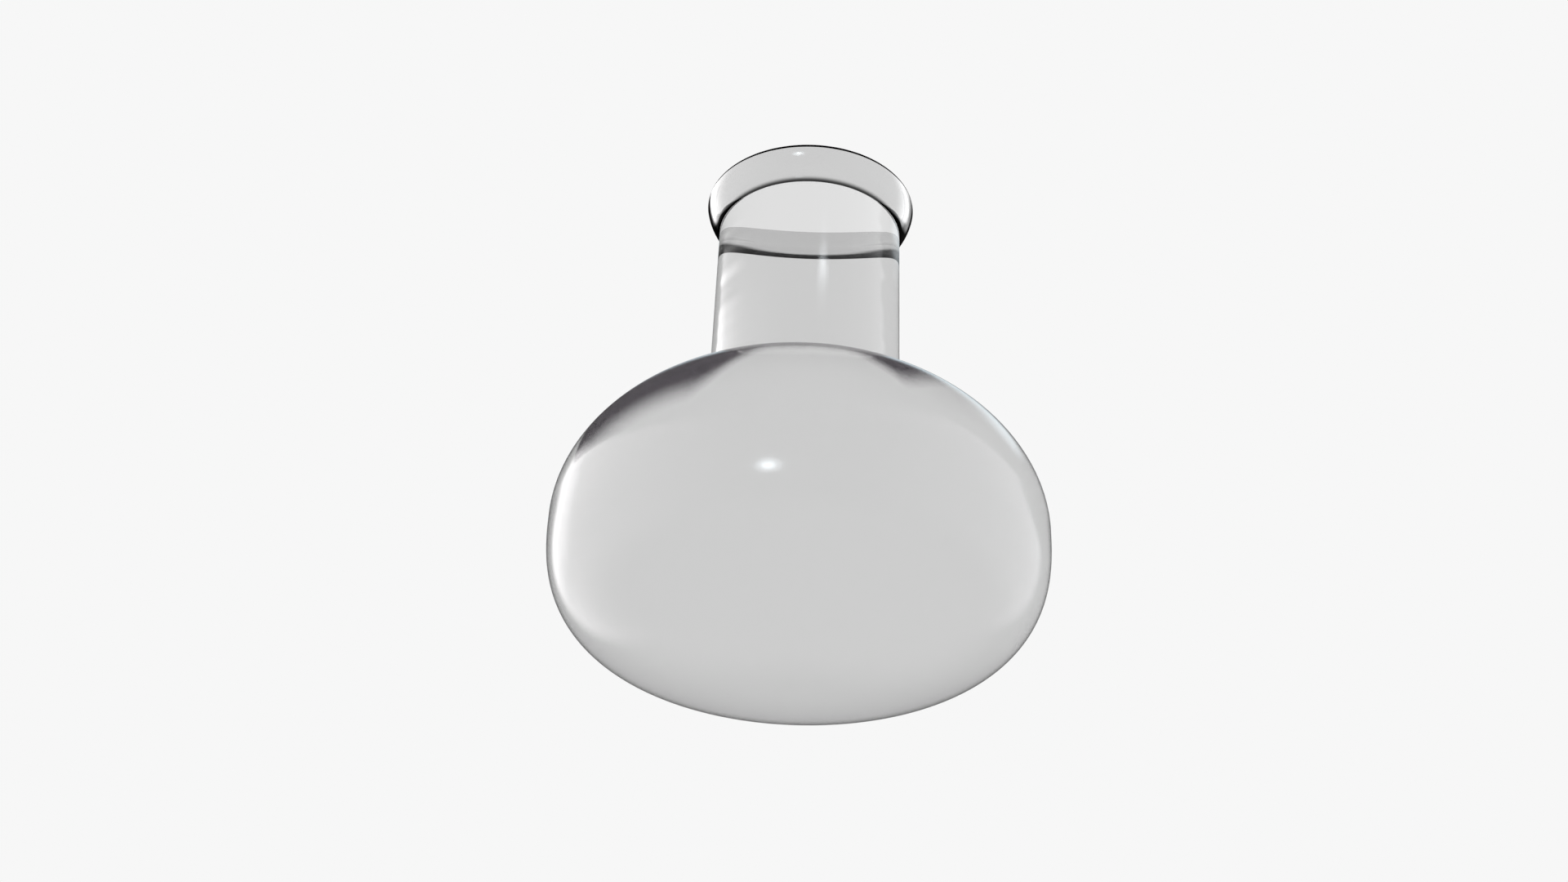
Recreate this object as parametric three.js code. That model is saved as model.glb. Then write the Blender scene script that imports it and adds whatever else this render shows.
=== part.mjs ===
// Round bottom flask: a squat blown-glass bulb, a short straight neck and a flared lip.
// It is one hollow vessel, open through the mouth, built as three sections:
//   bulb       the blown vessel, with its shoulder and the blend that runs into the neck
//   neck_tube  the straight length of drawn tube
//   lip        the flared mouth with its rounded rim and flat top land
// Neighbouring sections meet on a flat ring across the wall.
//
// Millimetres, +Z up along the axis of the neck. The origin is the lowest point of the bulb.

import * as THREE from 'three';

// ---- driving dimensions ----
// Radii are outside radii unless named otherwise.

const BULB_RADIUS = 42.5;          // at the widest circle
const BULB_LOWER_HEIGHT = 26.62;   // lowest point up to the widest circle
const BULB_LOWER_POWER = 2.72;     // superellipse exponent below it (2 would be an ellipse)
const BULB_UPPER_HEIGHT = 29.89;   // widest circle up to where the upper dome would close
const BULB_UPPER_POWER = 1.98;     // superellipse exponent above the widest circle
const BULB_WALL = 1.9;

const NECK_RADIUS = 17.15;
const NECK_WALL = 1.6;
const NECK_BORE_RADIUS = NECK_RADIUS - NECK_WALL;
const NECK_START_Z = 58.0;         // ring between bulb and neck tube
const SHOULDER_RADIUS = 3.5;       // blend from the shoulder into the neck

const LIP_START_Z = 90.65;         // ring between neck tube and flare
const LIP_RADIUS = 19.73;          // at the widest circle of the lip
const LIP_WIDEST_Z = 96.55;
const LIP_TOP_Z = 97.55;
const LIP_LAND = 0.7;              // radial width of the flat land on top
const LIP_WALL = 1.5;
const RIM_RADIUS = LIP_TOP_Z - LIP_WIDEST_Z;   // rounding of the rim's outer edge

const FLARE_RADIUS = 3.0;          // blend that turns the neck into the flare
const FLARE_EXTRA_LEAN = 0.14;     // radians the blend turns beyond the line to the widest circle
const FLARE_STRAIGHT_SHARE = 0.35; // share of the flare's spread that is linear; the rest eases out
const FLARE_MIN_STEP = 0.05;       // least height per point inside the flare, above its start

const SEGMENTS = 60;               // facets round the axis
const LOWER_DOME_STEPS = 11;       // facets from the lowest point to the widest circle
const UPPER_DOME_STEPS = LOWER_DOME_STEPS - 2;   // facets from there to the shoulder blend
const BLEND_STEPS = 5;             // facets round a blend
const FLARE_STEPS = 3;             // facets from the flare blend to the widest circle

// ---- outline helpers: a point is [radius, height] ----

// Point of the superellipse (r/radius)^power + (h/height)^power = 1, at an angle above its
// equator.
function domePoint({ radius, height, power }, angle) {
  const across = Math.cos(angle);
  const up = Math.sin(angle);
  const sum = Math.pow(across / radius, power) + Math.pow(Math.abs(up) / height, power);
  const reach = Math.pow(sum, -1 / power);
  return [reach * across, reach * up];
}

// Points along a circle, both ends included; angles in radians.
function arc([centreR, centreH], radius, startAngle, endAngle) {
  const points = [];
  for (let i = 0; i <= BLEND_STEPS; i++) {
    const angle = startAngle + (endAngle - startAngle) * i / BLEND_STEPS;
    points.push([centreR + radius * Math.cos(angle), centreH + radius * Math.sin(angle)]);
  }
  return points;
}

// A point moved sideways by a distance, to the left of the direction running start to end.
function moveLeft(point, start, end, distance) {
  const runR = end[0] - start[0];
  const runH = end[1] - start[1];
  const length = Math.hypot(runR, runH);
  return [point[0] - distance * runH / length, point[1] + distance * runR / length];
}

// A whole outline moved left; each point follows the line between its neighbours.
function offsetLeft(outline, distance) {
  return outline.map((point, i) => {
    const before = outline[Math.max(i - 1, 0)];
    const after = outline[Math.min(i + 1, outline.length - 1)];
    return moveLeft(point, before, after, distance);
  });
}

// ---- bulb ----

// Finds the blend circle that touches both the upper dome and the neck cylinder.
// Returns its centre, the point where it touches the dome and that point's dome angle.
function fitShoulder(dome, neckRadius, blendRadius) {
  const TANGENT_STEP = 1e-4;   // radians
  const HALVINGS = 60;

  const blendAt = (angle) => {
    const touch = domePoint(dome, angle);
    const next = domePoint(dome, angle + TANGENT_STEP);
    return { angle, touch, centre: moveLeft(touch, touch, next, -blendRadius) };
  };

  // The centre nears the axis as the angle grows, so halve the range of angles round the fit.
  let low = 0.2;
  let high = Math.PI / 2 - 0.05;
  for (let i = 0; i < HALVINGS; i++) {
    const middle = (low + high) / 2;
    if (blendAt(middle).centre[0] > neckRadius + blendRadius) low = middle;
    else high = middle;
  }
  return blendAt(low);
}

// Bulb surface from its lowest point to the neck ring, set in from the outside by the
// given wall in the bulb and in the neck.
function bulbOutline(bulbInset, neckInset) {
  const radius = BULB_RADIUS - bulbInset;
  const lower = { radius, height: BULB_LOWER_HEIGHT - bulbInset, power: BULB_LOWER_POWER };
  const upper = { radius, height: BULB_UPPER_HEIGHT - bulbInset, power: BULB_UPPER_POWER };
  const neckRadius = NECK_RADIUS - neckInset;
  const blendRadius = SHOULDER_RADIUS + neckInset;
  const equatorZ = BULB_LOWER_HEIGHT;

  const points = [[0, equatorZ - lower.height]];
  for (let i = 1; i <= LOWER_DOME_STEPS; i++) {
    const angle = -Math.PI / 2 + (Math.PI / 2) * i / LOWER_DOME_STEPS;
    const [r, h] = domePoint(lower, angle);
    points.push([r, equatorZ + h]);
  }

  const { angle: shoulderAngle, touch, centre } = fitShoulder(upper, neckRadius, blendRadius);
  for (let i = 1; i <= UPPER_DOME_STEPS; i++) {
    const [r, h] = domePoint(upper, shoulderAngle * i / UPPER_DOME_STEPS);
    points.push([r, equatorZ + h]);
  }

  // The touch point lies below the blend's centre and nearer the axis; a full turn is
  // added so that the arc runs the short way to the neck.
  const startAngle = Math.atan2(touch[1] - centre[1], touch[0] - centre[0]) + 2 * Math.PI;
  const blend = arc([centre[0], equatorZ + centre[1]], blendRadius, startAngle, Math.PI);
  blend[blend.length - 1][0] = neckRadius;
  points.push(...blend.slice(1), [neckRadius, NECK_START_Z]);
  return points;
}

function bulbProfile() {
  return [...bulbOutline(0, 0), ...bulbOutline(BULB_WALL, NECK_WALL).reverse()];
}

// ---- neck tube ----

function neckProfile() {
  return [
    [NECK_BORE_RADIUS, NECK_START_Z],
    [NECK_RADIUS, NECK_START_Z],
    [NECK_RADIUS, LIP_START_Z],
    [NECK_BORE_RADIUS, LIP_START_Z],
    [NECK_BORE_RADIUS, NECK_START_Z],
  ];
}

// ---- lip ----

// Outside of the flare: leaves the neck, turns outward and eases out to the widest circle.
function flareOutline() {
  const lean = Math.atan2(LIP_RADIUS - NECK_RADIUS, LIP_WIDEST_Z - LIP_START_Z)
    + FLARE_EXTRA_LEAN;
  const blendCentre = [NECK_RADIUS + FLARE_RADIUS, LIP_START_Z];
  const points = arc(blendCentre, FLARE_RADIUS, Math.PI, Math.PI - lean);
  const [startR, startZ] = points[points.length - 1];
  for (let i = 1; i <= FLARE_STEPS; i++) {
    const rise = i / FLARE_STEPS;
    const eased = 1 - (1 - rise) * (1 - rise);
    const spread = FLARE_STRAIGHT_SHARE * rise + (1 - FLARE_STRAIGHT_SHARE) * eased;
    points.push([
      startR + (LIP_RADIUS - startR) * spread,
      startZ + (LIP_WIDEST_Z - startZ) * rise,
    ]);
  }
  return points;
}

function lipProfile() {
  const outside = flareOutline();

  // The inside starts on the neck's bore and stops one point short of the widest circle.
  const inside = offsetLeft(outside, LIP_WALL)
    .map(([r, h], i) => [r, Math.max(h, LIP_START_Z + FLARE_MIN_STEP * i)])
    .slice(0, -1);
  inside[0] = [NECK_BORE_RADIUS, LIP_START_Z];

  const rimCentreR = LIP_RADIUS - RIM_RADIUS;
  const rim = [
    ...arc([rimCentreR, LIP_WIDEST_Z], RIM_RADIUS, 0, Math.PI / 2).slice(1),
    [rimCentreR - LIP_LAND, LIP_TOP_Z],
  ];
  return [...outside, ...rim, ...inside.reverse(), outside[0]];
}

// ---- flask ----

function glass(color) {
  return new THREE.MeshStandardMaterial({
    color, roughness: 0.02, metalness: 0, transparent: true, opacity: 0.35,
  });
}

function turned(name, profile, color) {
  const points = profile.map(([r, h]) => new THREE.Vector2(r, h));
  const geometry = new THREE.LatheGeometry(points, SEGMENTS);
  geometry.rotateX(Math.PI / 2);   // the lathe turns about Y; the flask stands along Z
  const mesh = new THREE.Mesh(geometry, glass(color));
  mesh.name = name;
  return mesh;
}

const flask = new THREE.Group();
flask.name = 'round_bottom_flask';
flask.add(turned('bulb', bulbProfile(), 0xcccdcf));
flask.add(turned('neck_tube', neckProfile(), 0xced0d1));
flask.add(turned('lip', lipProfile(), 0xc9cacc));

export default flask;
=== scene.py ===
import math
from collections import namedtuple
from functools import cached_property

import bpy
from mathutils import Matrix, Vector


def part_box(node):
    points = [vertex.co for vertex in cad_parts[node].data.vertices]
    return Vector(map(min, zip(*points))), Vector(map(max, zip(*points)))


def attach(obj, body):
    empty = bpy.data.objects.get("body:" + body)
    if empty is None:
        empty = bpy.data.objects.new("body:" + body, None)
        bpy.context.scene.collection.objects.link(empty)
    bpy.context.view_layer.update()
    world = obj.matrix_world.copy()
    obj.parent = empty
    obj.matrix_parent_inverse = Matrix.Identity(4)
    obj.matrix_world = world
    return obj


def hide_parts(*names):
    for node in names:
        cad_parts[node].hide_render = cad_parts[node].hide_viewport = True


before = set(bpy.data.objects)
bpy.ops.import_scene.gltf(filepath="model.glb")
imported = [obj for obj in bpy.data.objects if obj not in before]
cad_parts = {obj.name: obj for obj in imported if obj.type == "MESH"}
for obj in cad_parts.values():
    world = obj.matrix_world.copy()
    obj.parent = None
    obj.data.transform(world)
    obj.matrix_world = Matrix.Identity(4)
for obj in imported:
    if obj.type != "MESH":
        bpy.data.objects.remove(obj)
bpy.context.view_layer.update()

# ---- dimensions ----------------------------------------------------------------------------------
MM = 0.001
_, bulb_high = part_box("bulb")
neck_low, neck_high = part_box("neck_tube")
_, lip_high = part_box("lip")

BULB_R = bulb_high.x
NECK_R = neck_high.x
NECK_START = neck_low.z
LIP_START = neck_high.z
LIP_R = lip_high.x
LIP_TOP = lip_high.z

# the bulb is two half superellipses that meet at the widest circle
LOWER_HEIGHT, LOWER_POWER = 26.62 * MM, 2.72
UPPER_HEIGHT, UPPER_POWER = 29.89 * MM, 1.98
BULB_WALL, NECK_WALL, LIP_WALL = 1.9 * MM, 1.6 * MM, 1.5 * MM
SHOULDER_R = 3.5 * MM                 # hollow arc between bulb and neck
LIP_WIDEST = 96.55 * MM               # height of the lip's widest circle
LIP_LAND = 0.7 * MM                   # width of the flat on top of the rim
FLARE_R = 3.0 * MM                    # hollow arc at the foot of the lip
FLARE_EXTRA_LEAN = 0.14               # radians that arc turns beyond the line to the widest circle
FLARE_STRAIGHT = 0.35                 # share of a straight line in the flare above the arc
BORE_START = 0.8 * MM                 # height above the lip's foot where the bore's look changes

# steps along the outlines, and facets round the axis
LOWER_STEPS, UPPER_STEPS, SHOULDER_STEPS, STUB_STEPS = 96, 80, 16, 4
NECK_STEPS, FLARE_ARC_STEPS, FLARE_STEPS, RIM_STEPS = 24, 20, 24, 16
FACETS = 192
ON_AXIS = 1e-9                        # a smaller radius than this is a point on the axis


# ---- outlines: lists of (radius, height) ---------------------------------------------------------
def superellipse(radius, height, power, angle):
    c, s = math.cos(angle), math.sin(angle)
    reach = ((abs(c) / radius) ** power + (abs(s) / height) ** power) ** (-1 / power)
    return reach * c, reach * s


def arc(centre_r, centre_z, radius, start, end, steps):
    angles = [start + (end - start) * i / steps for i in range(steps + 1)]
    return [(centre_r + radius * math.cos(a), centre_z + radius * math.sin(a)) for a in angles]


def straight(start, end, steps):
    """Points on a line, without the first."""
    return [tuple(a + (b - a) * i / steps for a, b in zip(start, end)) for i in range(1, steps + 1)]


def right_normal(start, end):
    """Unit normal to the right of the way from start to end: outward, where the way goes up."""
    dr, dz = end[0] - start[0], end[1] - start[1]
    length = math.hypot(dr, dz) or 1.0
    return dz / length, -dr / length


def normal_at(line, i):
    return right_normal(line[max(i - 1, 0)], line[min(i + 1, len(line) - 1)])


def inset(line, distance):
    normals = [normal_at(line, i) for i in range(len(line))]
    return [(r - distance * nr, z - distance * nz) for (r, z), (nr, nz) in zip(line, normals)]


def bulb_outline(bulb_inset=0.0, neck_inset=0.0):
    """Lowest point, round the widest circle, over the shoulder and up to the start of the neck."""
    radius = BULB_R - bulb_inset
    lower = LOWER_HEIGHT - bulb_inset
    upper = UPPER_HEIGHT - bulb_inset
    neck = NECK_R - neck_inset
    blend = SHOULDER_R + neck_inset

    def shoulder(angle):
        """Centre of the shoulder arc that touches the upper half here, and the touching point."""
        touch = superellipse(radius, upper, UPPER_POWER, angle)
        nr, nz = right_normal(touch, superellipse(radius, upper, UPPER_POWER, angle + 1e-4))
        return (touch[0] + blend * nr, touch[1] + blend * nz), touch

    points = [(0.0, LOWER_HEIGHT + superellipse(radius, lower, LOWER_POWER, -math.pi / 2)[1])]
    for i in range(1, LOWER_STEPS + 1):
        angle = -math.pi / 2 + math.pi / 2 * i / LOWER_STEPS
        r, h = superellipse(radius, lower, LOWER_POWER, angle)
        points.append((r, LOWER_HEIGHT + h))

    # halve the range until the arc also touches the neck
    low, high = 0.2, math.pi / 2 - 0.05
    for _ in range(60):
        middle = (low + high) / 2
        if shoulder(middle)[0][0] > neck + blend:
            low = middle
        else:
            high = middle
    for i in range(1, UPPER_STEPS + 1):
        r, h = superellipse(radius, upper, UPPER_POWER, low * i / UPPER_STEPS)
        points.append((r, LOWER_HEIGHT + h))
    (centre_r, centre_h), touch = shoulder(low)
    start = math.atan2(touch[1] - centre_h, touch[0] - centre_r) % (2 * math.pi)
    points += arc(centre_r, LOWER_HEIGHT + centre_h, blend, start, math.pi, SHOULDER_STEPS)[1:]
    points[-1] = (neck, points[-1][1])
    return points + straight(points[-1], (neck, NECK_START), STUB_STEPS)


def flare_outline():
    """Outside of the lip: a hollow arc, then a line that steepens up to the widest circle."""
    lean = math.atan2(LIP_R - NECK_R, LIP_WIDEST - LIP_START) + FLARE_EXTRA_LEAN
    points = arc(NECK_R + FLARE_R, LIP_START, FLARE_R, math.pi, math.pi - lean, FLARE_ARC_STEPS)
    r, z = points[-1]
    for i in range(1, FLARE_STEPS + 1):
        k = i / FLARE_STEPS
        bend = 1 - (1 - k) * (1 - k)
        out = FLARE_STRAIGHT * k + (1 - FLARE_STRAIGHT) * bend
        points.append((r + (LIP_R - r) * out, z + (LIP_WIDEST - z) * k))
    return points


def flare_bore(outer):
    """Inside of the lip, starting flush with the neck's bore and always climbing."""
    points = [(NECK_R - NECK_WALL, LIP_START)]
    for i, (r, z) in enumerate(inset(outer, LIP_WALL)[1:-1]):
        points.append((r, max(z, LIP_START + 0.01 * MM * (i + 1))))
    return points


bulb_outer = bulb_outline()
bulb_inner = bulb_outline(BULB_WALL, NECK_WALL)
neck_foot = (NECK_R, NECK_START)
neck_outer = [neck_foot] + straight(neck_foot, (NECK_R, LIP_START), NECK_STEPS)
neck_inner = [(NECK_R - NECK_WALL, z) for _, z in neck_outer]
flare_outer = flare_outline()
flare_inner = flare_bore(flare_outer)
bore_index = next(i for i, (_, z) in enumerate(flare_inner) if z > LIP_START + BORE_START)
rim_r = LIP_TOP - LIP_WIDEST
rim = arc(LIP_R - rim_r, LIP_WIDEST, rim_r, 0, math.pi / 2, RIM_STEPS)[1:]
rim.append((LIP_R - rim_r - LIP_LAND, LIP_TOP))


# ---- meshes --------------------------------------------------------------------------------------
def link_object(name, data):
    ob = bpy.data.objects.new(name, data)
    bpy.context.scene.collection.objects.link(ob)
    return ob


def turned(name, runs, materials):
    """A closed solid of revolution from runs of (points, material, smooth). Each run starts where
    the last one ends, and the last one ends where the first begins. Normals come from the outline,
    so neighbouring pieces shade alike at a shared ring."""
    line, slots, normals = [], [], []
    for points, material, smooth in runs:
        for i in range(len(points) - 1):
            line.append(points[i])
            slots.append(materials.index(material))
            if smooth:
                normals.append((normal_at(points, i), normal_at(points, i + 1)))
            else:
                normals.append((right_normal(points[i], points[i + 1]),) * 2)

    turns = [2 * math.pi * j / FACETS for j in range(FACETS)]
    verts, rings = [], []
    for r, z in line:
        if r < ON_AXIS:
            rings.append([len(verts)] * FACETS)
            verts.append((0.0, 0.0, z))
        else:
            rings.append([len(verts) + j for j in range(FACETS)])
            verts += [(r * math.cos(a), r * math.sin(a), z) for a in turns]

    faces, face_slots, loop_normals = [], [], []
    for i in range(len(line)):
        ends = (i, (i + 1) % len(line))
        poles = [line[end][0] < ON_AXIS for end in ends]
        if all(poles):
            continue
        for j in range(FACETS):
            following = (j + 1) % FACETS
            face = []
            for end, turn in ((0, j), (0, following), (1, following), (1, j)):
                vertex = rings[ends[end]][turn]
                if vertex in face:    # at a pole the face is a triangle
                    continue
                face.append(vertex)
                nr, nz = normals[i][end]
                if poles[end]:
                    loop_normals.append((0.0, 0.0, 1.0 if nz > 0 else -1.0))
                else:
                    a = turns[turn]
                    loop_normals.append((nr * math.cos(a), nr * math.sin(a), nz))
            faces.append(face)
            face_slots.append(slots[i])

    mesh = bpy.data.meshes.new(name)
    mesh.from_pydata(verts, [], faces)
    for material in materials:
        mesh.materials.append(material)
    mesh.polygons.foreach_set("material_index", face_slots)
    mesh.polygons.foreach_set("use_smooth", [True] * len(faces))
    mesh.normals_split_custom_set(loop_normals)
    mesh.update()
    return link_object(name, mesh)


# ---- node trees ----------------------------------------------------------------------------------
class Value:
    """An output of a node. Arithmetic on it adds Math nodes; [key] picks another output."""

    def __init__(self, graph, node, key=0):
        self.graph, self.node, self.key = graph, node, key

    def __getitem__(self, key):
        return Value(self.graph, self.node, key)

    def __add__(self, other):
        return self.graph.math("ADD", self, other)

    def __radd__(self, other):
        return self.graph.math("ADD", other, self)

    def __sub__(self, other):
        return self.graph.math("SUBTRACT", self, other)

    def __rsub__(self, other):
        return self.graph.math("SUBTRACT", other, self)

    def __mul__(self, other):
        return self.graph.math("MULTIPLY", self, other)


# a ramp from level at start up to 1 at end
Fade = namedtuple("Fade", "start end level")


class Graph:
    """Short calls for building a node tree. Shared inputs are added when first used."""

    def __init__(self, tree):
        self.tree = tree
        tree.nodes.clear()

    def add(self, kind, inputs=None, **settings):
        """Add a node and fill its inputs, given by name or number."""
        node = self.tree.nodes.new("ShaderNode" + kind)
        for key, value in settings.items():
            setattr(node, key, value)
        for key, value in (inputs or {}).items():
            if isinstance(value, Value):
                self.tree.links.new(value.node.outputs[value.key], node.inputs[key])
            else:
                node.inputs[key].default_value = value
        return Value(self, node)

    def math(self, operation, *values, clamp=False):
        return self.add("Math", dict(enumerate(values)), operation=operation, use_clamp=clamp)

    def vector(self, operation, *values):
        result = self.add("VectorMath", dict(enumerate(values)), operation=operation)
        return result["Value" if operation in ("DOT_PRODUCT", "LENGTH") else "Vector"]

    def ramp(self, value, span, to=(0.0, 1.0), kind="SMOOTHSTEP"):
        inputs = {"Value": value, "From Min": span[0], "From Max": span[1],
                  "To Min": to[0], "To Max": to[1]}
        return self.add("MapRange", inputs, interpolation_type=kind, clamp=True)["Result"]

    def fade(self, value, fade):
        return self.ramp(value, span=(fade.start, fade.end), to=(fade.level, 1.0))

    def noise(self, vector, scale, detail=2.0, roughness=0.5):
        inputs = {"Vector": vector, "Scale": scale, "Detail": detail, "Roughness": roughness}
        return self.add("TexNoise", inputs)["Fac"]

    def split(self, vector):
        parts = self.add("SeparateXYZ", {0: vector})
        return parts[0], parts[1], parts[2]

    def azimuth(self, x, y):
        """Degrees from +Y towards +X."""
        return self.math("DEGREES", self.math("ARCTAN2", x, y))

    def grey(self, value):
        return self.add("CombineColor", {i: value for i in range(3)})

    def tinted(self, value, color):
        return self.add("CombineColor", {i: value * color[i] for i in range(3)})

    def mix_color(self, factor, first, second):
        return self.add("Mix", {"Factor": factor, 6: first, 7: second}, data_type="RGBA")[2]

    def mix_shader(self, factor, first, second):
        return self.add("MixShader", {0: factor, 1: first, 2: second})

    @cached_property
    def geometry(self):
        return self.add("NewGeometry")

    @cached_property
    def path(self):
        return self.add("LightPath")

    @cached_property
    def coords(self):
        return self.add("TexCoord")["Object"]

    @cached_property
    def height(self):
        return self.split(self.coords)[2]

    @cached_property
    def back(self):
        return self.geometry["Backfacing"]

    @cached_property
    def front(self):
        return 1.0 - self.back

    @cached_property
    def facing(self):
        """1 where the skin is seen square-on, 0 where it is seen edge-on."""
        geometry = self.geometry
        cosine = self.vector("DOT_PRODUCT", geometry["Incoming"], geometry["Normal"])
        return self.math("ABSOLUTE", cosine)


def new_material(name):
    material = bpy.data.materials.new(name)
    material.use_nodes = True
    return material, Graph(material.node_tree)


# ---- glass ---------------------------------------------------------------------------------------
BACKDROP = (0.930, 0.930, 0.930, 1)
IOR = 1.33                            # of a full skin of glass, and of all reflection outside
SLIGHT_IOR = 1.075                    # bend at a flattened skin, before the flattening
TINT = 0.81                           # share of light that one skin lets through
SHADOW_TINT = (0.9, 0.905, 0.91, 1)
DRIFT_SCALE, DRIFT_DEPTH = 26.0, 0.012    # slow drift of the tint over the whole piece
# the foot ring is painted shade: a dark band at the foot of the lip
FOOT_SLIM = 0.7 * MM                  # the foot ring stops lower by this, square-on from inside
PAINTED_FOOT_SHADE = Fade(LIP_START + 0.3 * MM, LIP_START + 1.3 * MM, 0.08)
FAR_SHADE_LEVEL = 0.10                      # painted shade level on a fused ring's far half


def foot_slim(graph):
    return graph.ramp(graph.facing, span=(0.45, 0.92), to=(0.0, FOOT_SLIM))


def near_edge(graph):
    return graph.ramp(graph.facing, span=(0.45, 0.65), to=(1.0, 0.0))


def wedged(graph, cosine, wedge):
    """Lower the cosine near the foot, so that edge effects, among them the painted edge shade, reach
    further in there.
    """
    if wedge is None:
        return cosine
    return cosine - graph.ramp(graph.height, span=(wedge.start, wedge.end), to=(wedge.level, 0.0))


def glass_tint_and_painted_shade(graph, striae_scale, striae_depth, edge, wedge, foot, film):
    """How much light goes through: an uneven wall with striae, with painted shade edge-on and a
    painted dark ring at the foot.
    """
    drift = graph.noise(graph.coords, scale=DRIFT_SCALE)
    stretched = graph.vector("MULTIPLY", graph.coords, striae_scale)
    striae = graph.noise(stretched, scale=1.0, detail=3.0, roughness=0.6)
    tone = (drift - 0.5) * DRIFT_DEPTH + (striae - 0.5) * striae_depth + TINT
    # painted shade edge-on: dark outlines that only the camera sees
    if edge is not None:
        cosine = graph.facing + (1.0 - graph.path["Is Camera Ray"])    # only the camera sees it
        tone = tone * graph.fade(wedged(graph, cosine, wedge), edge)
    # a painted dark ring of shade at the foot
    if foot is not None:
        inward = graph.front if film == "front" else graph.back
        tone = tone * graph.fade(graph.height + inward * foot_slim(graph), foot)
    return tone


def paint_shoulder_shade(graph, color):
    """Paint shade onto the limb of the bulb's upper half on both sides of the neck, for the camera
    only.
    """
    x, y, z = graph.split(graph.geometry["Normal"])
    azimuth = graph.azimuth(x, y)
    # how far in from the limb the dark reaches, as a cosine, for each heading of the normal
    left = graph.ramp(azimuth, span=(-160, -118), to=(0.55, 0.30), kind="LINEAR")
    left = left * graph.ramp(azimuth, span=(-171, -154), to=(0.34, 1.0))
    left = left * graph.ramp(azimuth, span=(-122.5, -118.5), to=(1.0, 0.0))
    right = graph.ramp(azimuth, span=(140, 158), to=(0.04, 0.43), kind="LINEAR")
    right = right * graph.ramp(azimuth, span=(154, 170), to=(1.0, 0.4))
    reach = graph.math("MAXIMUM", left, right) * graph.ramp(z, span=(0.0, 0.12))

    depth = 1.0 - graph.ramp(graph.facing - reach, span=(-0.13, 0.12))
    depth = depth * graph.math("MULTIPLY", reach, 7.0, clamp=True)    # none where reach is nil
    depth = depth * graph.path["Is Camera Ray"]
    # fainter to an eye that looks level, gone to one that looks steeply down
    eye = graph.split(graph.geometry["Incoming"])[2]
    depth = depth * graph.ramp(eye, span=(-0.25, -0.08), to=(1.0, 0.4))
    depth = depth * graph.ramp(eye, span=(0.45, 0.8), to=(1.0, 0.0))

    # the painted shade gets a fine grain and a purplish tint
    grain = graph.noise(graph.coords, scale=2600.0, detail=1.0)
    dark = 0.115 + (grain - 0.5) * 0.05
    return graph.mix_color(depth, color, graph.tinted(dark, color=(1.0, 0.90, 1.02)))


def flattened_normal(graph, ior, flatten):
    """The normal that makes the refraction node bend light slightly and then scale its climb.
    By Snell's law it lies along incoming - ior * outgoing."""
    way = graph.vector("MULTIPLY", graph.geometry["Incoming"], (-1.0, -1.0, -1.0))
    facing = graph.facing
    turn = facing - graph.math("SQRT", facing * facing + (SLIGHT_IOR ** 2 - 1))
    turn = graph.add("CombineXYZ", {i: turn for i in range(3)})
    bent = graph.vector("ADD", way, graph.vector("MULTIPLY", graph.geometry["Normal"], turn))
    bent = graph.vector("MULTIPLY", bent, (1.0, 1.0, flatten))
    bent = graph.vector("NORMALIZE", bent)
    bent = graph.vector("MULTIPLY", bent, (ior, ior, ior))
    return graph.vector("NORMALIZE", graph.vector("SUBTRACT", way, bent))


def wavy_normal(graph, wave):
    """Tip the normal up and down with the height, only near the edge."""
    along = graph.add("CombineXYZ", {2: graph.height})
    uneven = (graph.noise(along, scale=190.0, detail=1.0) - 0.5) * wave
    tip = graph.add("CombineXYZ", {2: uneven * near_edge(graph)})
    return graph.vector("NORMALIZE", graph.vector("ADD", graph.geometry["Normal"], tip))


def glass_bounce(graph, sheen, shine, gloss, wedge, foot, wave):
    """What bounces off: tinted and a little soft outside, full and sharp inside."""
    level = graph.front * TINT + graph.back
    if shine is not None:
        normal_x = graph.split(graph.geometry["Normal"])[0]
        left, right = shine
        more = graph.ramp(normal_x, span=(-0.3, 0.3), to=(left - 1.0, right - 1.0))
        level = level * (more * near_edge(graph) + 1.0)
    if gloss is not None:
        level = level * graph.fade(wedged(graph, graph.facing, wedge), gloss)
    if foot is not None:
        level = level * graph.ramp(graph.height, span=(foot.start, foot.end + 1.0 * MM))
    inputs = {"Color": graph.grey(level), "Roughness": graph.front * sheen}
    if wave:
        inputs["Normal"] = wavy_normal(graph, wave)
    return graph.add("BsdfGlossy", inputs)


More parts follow.
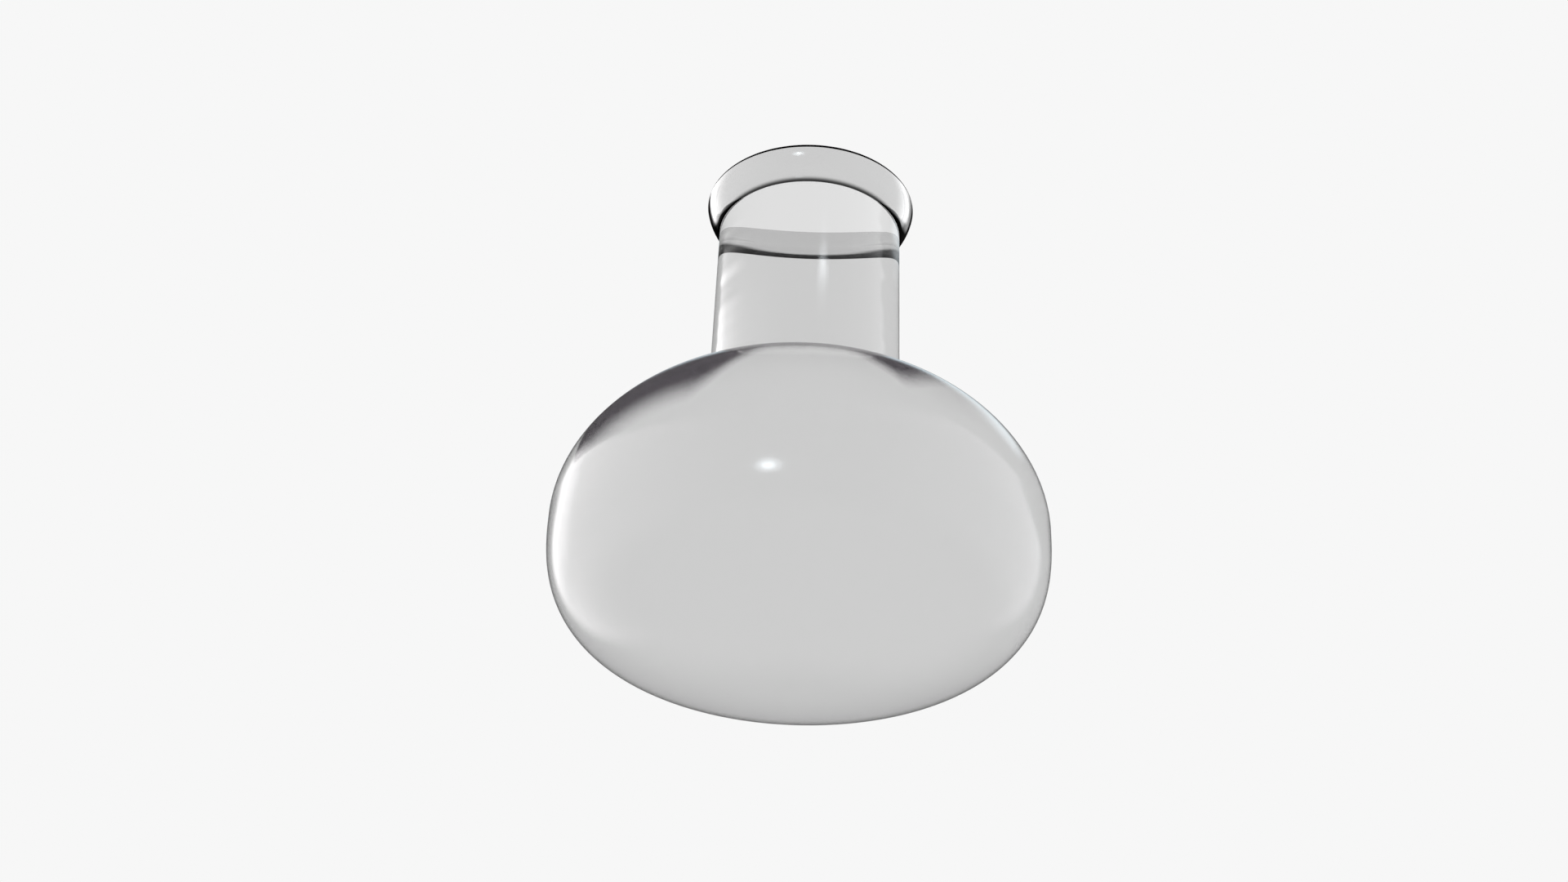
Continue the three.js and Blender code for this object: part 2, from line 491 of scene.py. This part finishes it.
def glass(name, striae_scale, striae_depth=0.006, ior=IOR, flatten=None, edge=None, wedge=None,
          foot=None, gloss=None, film=None, wave=0.0, sheen=0.06, shine=None, shoulder=False):
    """One skin of clear glass: light that goes through is bent by ior, the rest bounces. Lamps
    shine through, so that the shadow stays light.
    striae_scale, striae_depth: scale per axis and strength of the streaks in the tint
    flatten: scales the climb of light as it goes through and leaves its heading alone
    edge, gloss: fades by cosine that dim edge-on what goes through and what bounces; edge paints
    shade on what goes through, for the camera only
    wedge: fade by height, its level lowering the cosines of both
    foot: fade by height that paints a dark ring of shade
    film: side, "front" or "back", on which the skin is too thin to bend anything
    wave: unevenness of reflections near the edge; sheen: roughness of the outside
    shine: gain of reflections near the edge on the (left, right)
    shoulder: paint shade onto the bulb's limb beside the neck"""
    material, graph = new_material(name)
    color = graph.grey(glass_tint_and_painted_shade(graph, striae_scale, striae_depth, edge, wedge, foot, film))
    if shoulder:
        color = paint_shoulder_shade(graph, color)
    inputs = {"Color": color, "IOR": ior, "Roughness": 0.0}
    if flatten is not None:
        inputs["Normal"] = flattened_normal(graph, ior, flatten)
    through = graph.add("BsdfRefraction", inputs)
    bounce = glass_bounce(graph, sheen, shine, gloss, wedge, foot, wave)
    share = graph.add("Fresnel", {"IOR": IOR + graph.back * (ior - IOR)})
    bent = graph.mix_shader(graph.math("MAXIMUM", share, 0.02), through, bounce)
    # the film, and also the way out for light that has bounced inside once already
    plain = graph.add("BsdfTransparent", {"Color": color})
    sheet = graph.mix_shader(share * graph.front, plain, bounce)
    unbent = graph.back * graph.math("GREATER_THAN", graph.path["Glossy Depth"], 0.5)
    if film is not None:
        side = graph.front if film == "front" else graph.back
        unbent = graph.math("MAXIMUM", unbent, side)
    skin = graph.mix_shader(unbent, bent, sheet)
    clear = graph.add("BsdfTransparent", {"Color": SHADOW_TINT})
    surface = graph.mix_shader(graph.path["Is Shadow Ray"], skin, clear)
    graph.add("OutputMaterial", {"Surface": surface})
    return material


def passing(name, tone=None):
    """A face that bends nothing. tone, given the graph, makes its tint."""
    material, graph = new_material(name)
    inputs = {"Color": graph.grey(tone(graph))} if tone else {}
    graph.add("OutputMaterial", {"Surface": graph.add("BsdfTransparent", inputs)})
    return material


def bore_start_tint_and_painted_shade(graph):
    """The painted dark ring of shade at the foot, for light on its way into the glass."""
    tone = graph.fade(graph.height + foot_slim(graph), PAINTED_FOOT_SHADE) * TINT
    return graph.math("MAXIMUM", tone, graph.back)


def far_half_painted_shade(graph):
    """Paint shade on the half away from the eye, less so when the eye looks steeply down or up."""
    incoming = graph.geometry["Incoming"]
    flat = graph.vector("MULTIPLY", graph.geometry["Position"], (1.0, 1.0, 0.0))
    toward_eye = graph.vector("DOT_PRODUCT", flat, incoming)
    away = graph.ramp(toward_eye, span=(-0.4 * NECK_R, 0.2 * NECK_R), to=(1.0, 0.0))
    steepness = graph.math("ABSOLUTE", graph.split(incoming)[2])
    away = away * graph.ramp(steepness, span=(0.55, 0.85), to=(1.0, 0.25))
    return 1.0 - away * (1.0 - FAR_SHADE_LEVEL)


LIP_STRIAE = (70.0, 70.0, 160.0)
# painted shade at the bulb's limb, edge-on, and beside the neck
bulb_mat = glass("blown_glass", striae_scale=(60.0, 60.0, 18.0), edge=Fade(0.02, 0.18, 0.48),
                 sheen=0.115, shoulder=True)
neck_mat = glass("drawn_glass", striae_scale=(900.0, 900.0, 12.0), striae_depth=0.010, ior=1.15,
                 flatten=0.771, film="back", wave=0.20, sheen=0.08, shine=(1.5, 1.2))
# painted dark outline edge-on and a painted dark ring of shade at the lip's foot
lip_mat = glass("fire_polished_glass", striae_scale=LIP_STRIAE, edge=Fade(0.29, 0.36, 0.0),
                wedge=Fade(LIP_START + 1.0 * MM, LIP_START + 3.2 * MM, 0.22), foot=PAINTED_FOOT_SHADE,
                gloss=Fade(0.19, 0.29, 0.02), film="back", sheen=0.11, shine=(2.8, 4.6))
# painted dark ring of shade at the foot of the bore
bore_mat = glass("fire_polished_bore", striae_scale=LIP_STRIAE, foot=PAINTED_FOOT_SHADE, film="front")
# painted dark outline edge-on at the rim
rim_mat = glass("polished_rim", striae_scale=LIP_STRIAE, edge=Fade(0.70, 0.90, 0.0),
                gloss=Fade(0.5, 0.85, 0.0), film="back")
inside_mat = passing("inner_face")
joint_mat = passing("fused_ring")
# painted dark ring of shade at the start of the bore
start_mat = passing("bore_start", tone=bore_start_tint_and_painted_shade)
# the far half of the fused rings gets painted shade
ring_shade_mat = passing("fused_ring_far_shade", tone=far_half_painted_shade)

# ---- the three pieces ----------------------------------------------------------------------------
bulb = turned("bulb_glass", [
    (bulb_outer, bulb_mat, True),
    ([bulb_outer[-1], bulb_inner[-1]], joint_mat, False),
    (bulb_inner[::-1], inside_mat, True),
    ([bulb_inner[0], bulb_outer[0]], inside_mat, False),    # along the axis, so without faces
], [bulb_mat, inside_mat, joint_mat])
neck = turned("neck_glass", [
    (neck_outer, neck_mat, True),
    ([neck_outer[-1], neck_inner[-1]], ring_shade_mat, False),
    (neck_inner[::-1], inside_mat, True),
    ([neck_inner[0], neck_outer[0]], joint_mat, False),
], [neck_mat, inside_mat, joint_mat, ring_shade_mat])
lip = turned("lip_glass", [
    (flare_outer, lip_mat, True),
    ([flare_outer[-1]] + rim[:-1], rim_mat, True),
    (rim[-2:], rim_mat, False),
    ([rim[-1]] + flare_inner[:bore_index - 1:-1], bore_mat, True),
    (flare_inner[bore_index::-1], start_mat, True),
    ([flare_inner[0], flare_outer[0]], ring_shade_mat, False),
], [lip_mat, joint_mat, rim_mat, bore_mat, start_mat, ring_shade_mat])
for piece, part, slot in ((bulb, "bulb", "bulb_glass"), (neck, "neck_tube", "neck_glass"),
                          (lip, "lip", "lip_glass")):
    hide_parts(part)
    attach(piece, "root")

# ---- floor ---------------------------------------------------------------------------------------
FLOOR_HALF = 6.0


def floor_material():
    """Matt and pale, running up into the backdrop far off. Clear to a camera below it."""
    material, graph = new_material("pale_floor")
    eye = graph.add("VectorTransform", {0: (0, 0, 0)}, vector_type="POINT",
                    convert_from="CAMERA", convert_to="WORLD")
    above = graph.math("GREATER_THAN", graph.split(eye)[2], 0.0)
    grain = graph.noise(graph.coords, scale=900.0)
    shade = 0.80 + (grain - 0.5) * 0.03
    matt = graph.add("BsdfDiffuse", {"Color": graph.grey(shade)})
    glow = graph.add("Emission", {"Color": BACKDROP})
    far_off = graph.ramp(graph.vector("LENGTH", graph.coords), span=(0.18, 0.9))
    sweep = graph.mix_shader(far_off, matt, glow)
    surface = graph.mix_shader(above, graph.add("BsdfTransparent"), sweep)
    graph.add("OutputMaterial", {"Surface": surface})
    return material


floor_mesh = bpy.data.meshes.new("floor")
floor_corners = [(x * FLOOR_HALF, y * FLOOR_HALF, 0) for x, y in ((-1, -1), (1, -1), (1, 1), (-1, 1))]
floor_mesh.from_pydata(floor_corners, [], [(0, 1, 2, 3)])
link_object("floor", floor_mesh)
floor_mesh.materials.append(floor_material())

# ---- world: a pale studio, with a dimmer side that only reflections off the outside see ----------
# (side: -1 left or 1 right; near, far: azimuth and softness of the edges; bottom, top: elevation
# and softness; slope: outward shift of the near edge per degree of elevation; steep: None, or the
# elevation above which it shifts further and by how much; gain; colour), all angles in degrees
PANELS = (
    # broad left panel, and a strip on its near end
    (-1, (33, 5), (120, 50), (-24, 15), (35, 3), 0.28, None, 2.5, (1.0, 0.985, 0.99)),
    (-1, (34, 4), (60, 6), (4, 8), (33, 4), 0.28, None, 1.4, (1.0, 0.965, 0.985)),
    # pale wall ahead on the right, broad right panel, and a cool glow above
    (1, (24, 12), (150, 30), (-14, 12), (50, 8), 0.0, None, 0.36, (0.98, 0.99, 1.0)),
    (1, (44, 5), (115, 50), (-22, 12), (48, 6), 0.2, (17.0, 1.35), 1.5, (0.97, 0.985, 1.0)),
    (1, (-12, 6), (48, 8), (37, 2.5), (46, 5), 0.0, None, 1.25, (0.80, 0.93, 1.0)),
)


def panel(graph, azimuth, elevation, side, near, far, bottom, top, slope, steep):
    """1 inside a box of directions, easing to 0 outside."""
    def rise(value, edge):
        return graph.ramp(value, span=(edge[0] - edge[1], edge[0] + edge[1]))

    def fall(value, edge):
        return graph.ramp(value, span=(edge[0] - edge[1], edge[0] + edge[1]), to=(1.0, 0.0))

    outward = azimuth * float(side)
    shifted = outward - elevation * slope
    if steep is not None:
        bend, more = steep
        shifted = shifted - graph.math("MAXIMUM", elevation - bend, 0.0) * more
    inside = rise(shifted, near) * fall(outward, far)
    return inside * rise(elevation, bottom) * fall(elevation, top)


def build_world(world):
    world.use_nodes = True
    graph = Graph(world.node_tree)
    x, y, z = graph.split(graph.add("TexCoord")["Generated"])
    azimuth = graph.azimuth(x, y)
    elevation = graph.math("DEGREES", graph.math("ARCSINE", z))
    level = graph.ramp(elevation, span=(-36, -12), to=(0.70, 0.10))
    room = graph.tinted(level, color=(1.0, 0.99, 0.99))
    for *shape, gain, color in PANELS:
        value = panel(graph, azimuth, elevation, *shape)
        room = graph.vector("ADD", room, graph.tinted(value * gain, color))
    outside = graph.math("LESS_THAN", graph.path["Transmission Depth"], 0.5)
    reflected = graph.path["Is Reflection Ray"] * outside
    seen = graph.mix_color(reflected, BACKDROP, room)
    seen = graph.mix_color(graph.path["Is Camera Ray"], seen, BACKDROP)
    graph.add("OutputWorld", {"Surface": graph.add("Background", {"Color": seen})})


scene = bpy.context.scene
scene.world = bpy.data.worlds.new("studio")
build_world(scene.world)

# ---- lamps ---------------------------------------------------------------------------------------
LAMP_TARGET = Vector((0, 0, 0.03))
KEY_COLOR, STREAK_COLOR = (0.86, 0.95, 1.0), (0.90, 0.96, 1.0)
# name, azimuth and elevation in degrees, distance, width, height, radiance, colour, and whether
# it is mirrored in the glass
LAMPS = (
    ("softbox_left", -88, 30, 1.0, 0.9, 0.6, 1.2, (1.0, 0.985, 0.99), False),
    ("softbox_right", 84, 35, 1.0, 0.9, 0.6, 1.2, (0.95, 0.98, 1.0), False),
    ("key", -166.7, 5.2, 0.9, 0.088, 0.088, 30.0, KEY_COLOR, True),
    ("key_glow", -166.7, 5.2, 0.88, 0.175, 0.165, 9.0, KEY_COLOR, True),
    ("streak", 162.5, 37.2, 0.9, 0.20, 0.022, 6.5, STREAK_COLOR, True),
    ("streak_core", 162.5, 37.5, 0.89, 0.11, 0.014, 17.0, STREAK_COLOR, True),
)


def toward(azimuth, elevation):
    a, e = math.radians(azimuth), math.radians(elevation)
    return Vector((math.sin(a) * math.cos(e), math.cos(a) * math.cos(e), math.sin(e)))


def softbox(name, azimuth, elevation, distance, width, height, radiance, color, mirrored):
    lamp = bpy.data.lights.new(name, "AREA")
    lamp.shape = "ELLIPSE"
    lamp.size, lamp.size_y = width, height
    lamp.energy = radiance * math.pi * width * height * math.pi / 4
    lamp.color = color
    ob = link_object(name, lamp)
    place = toward(azimuth, elevation) * distance
    facing = place.normalized().to_track_quat("Z", "Y").to_matrix().to_4x4()
    ob.matrix_world = Matrix.Translation(LAMP_TARGET + place) @ facing
    ob.visible_camera = False
    ob.visible_transmission = False
    ob.visible_glossy = mirrored
    if mirrored:
        # caught only by what bounces off the outside
        lamp.use_nodes = True
        graph = Graph(lamp.node_tree)
        outside = graph.math("LESS_THAN", graph.path["Transmission Depth"], 0.5)
        graph.add("OutputLight", {"Surface": graph.add("Emission", {"Strength": outside})})
    return ob


lamps = {row[0]: softbox(*row) for row in LAMPS}
# only the drawn tube catches the narrow lamp and its brighter core
catches = bpy.data.collections.new("catches_streak")
catches.objects.link(neck)
for name in ("streak", "streak_core"):
    lamps[name].light_linking.receiver_collection = catches

# ---- camera: below the flask, looking up ---------------------------------------------------------
CAMERA_PLACE = (0.0, -0.236113, -0.08550775)
YAW, PITCH, ROLL = -0.0137, 0.5086, 0.0418    # radians; yaw is from +Y towards +X


def camera_matrix():
    forward = Vector((math.sin(YAW) * math.cos(PITCH), math.cos(YAW) * math.cos(PITCH),
                      math.sin(PITCH)))
    level = Vector((math.cos(YAW), -math.sin(YAW), 0.0))
    upright = level.cross(forward)
    right = math.cos(ROLL) * level + math.sin(ROLL) * upright
    up = -math.sin(ROLL) * level + math.cos(ROLL) * upright
    rows = [(right[i], up[i], -forward[i], CAMERA_PLACE[i]) for i in range(3)]
    return Matrix(rows + [(0, 0, 0, 1)])


camera = bpy.data.cameras.new("camera")
camera.sensor_width = 36.0
camera.lens = 35.0625
camera.clip_start, camera.clip_end = 0.001, 100.0
scene.camera = link_object("camera", camera)
scene.camera.matrix_world = camera_matrix()

# ---- render settings -----------------------------------------------------------------------------
scene.view_settings.view_transform = "Standard"
scene.view_settings.look = "None"
scene.cycles.max_bounces = 32
scene.cycles.transmission_bounces = 32
scene.cycles.glossy_bounces = 16
scene.cycles.transparent_max_bounces = 48
scene.cycles.caustics_reflective = True
scene.cycles.caustics_refractive = True
scene.cycles.use_denoising = True
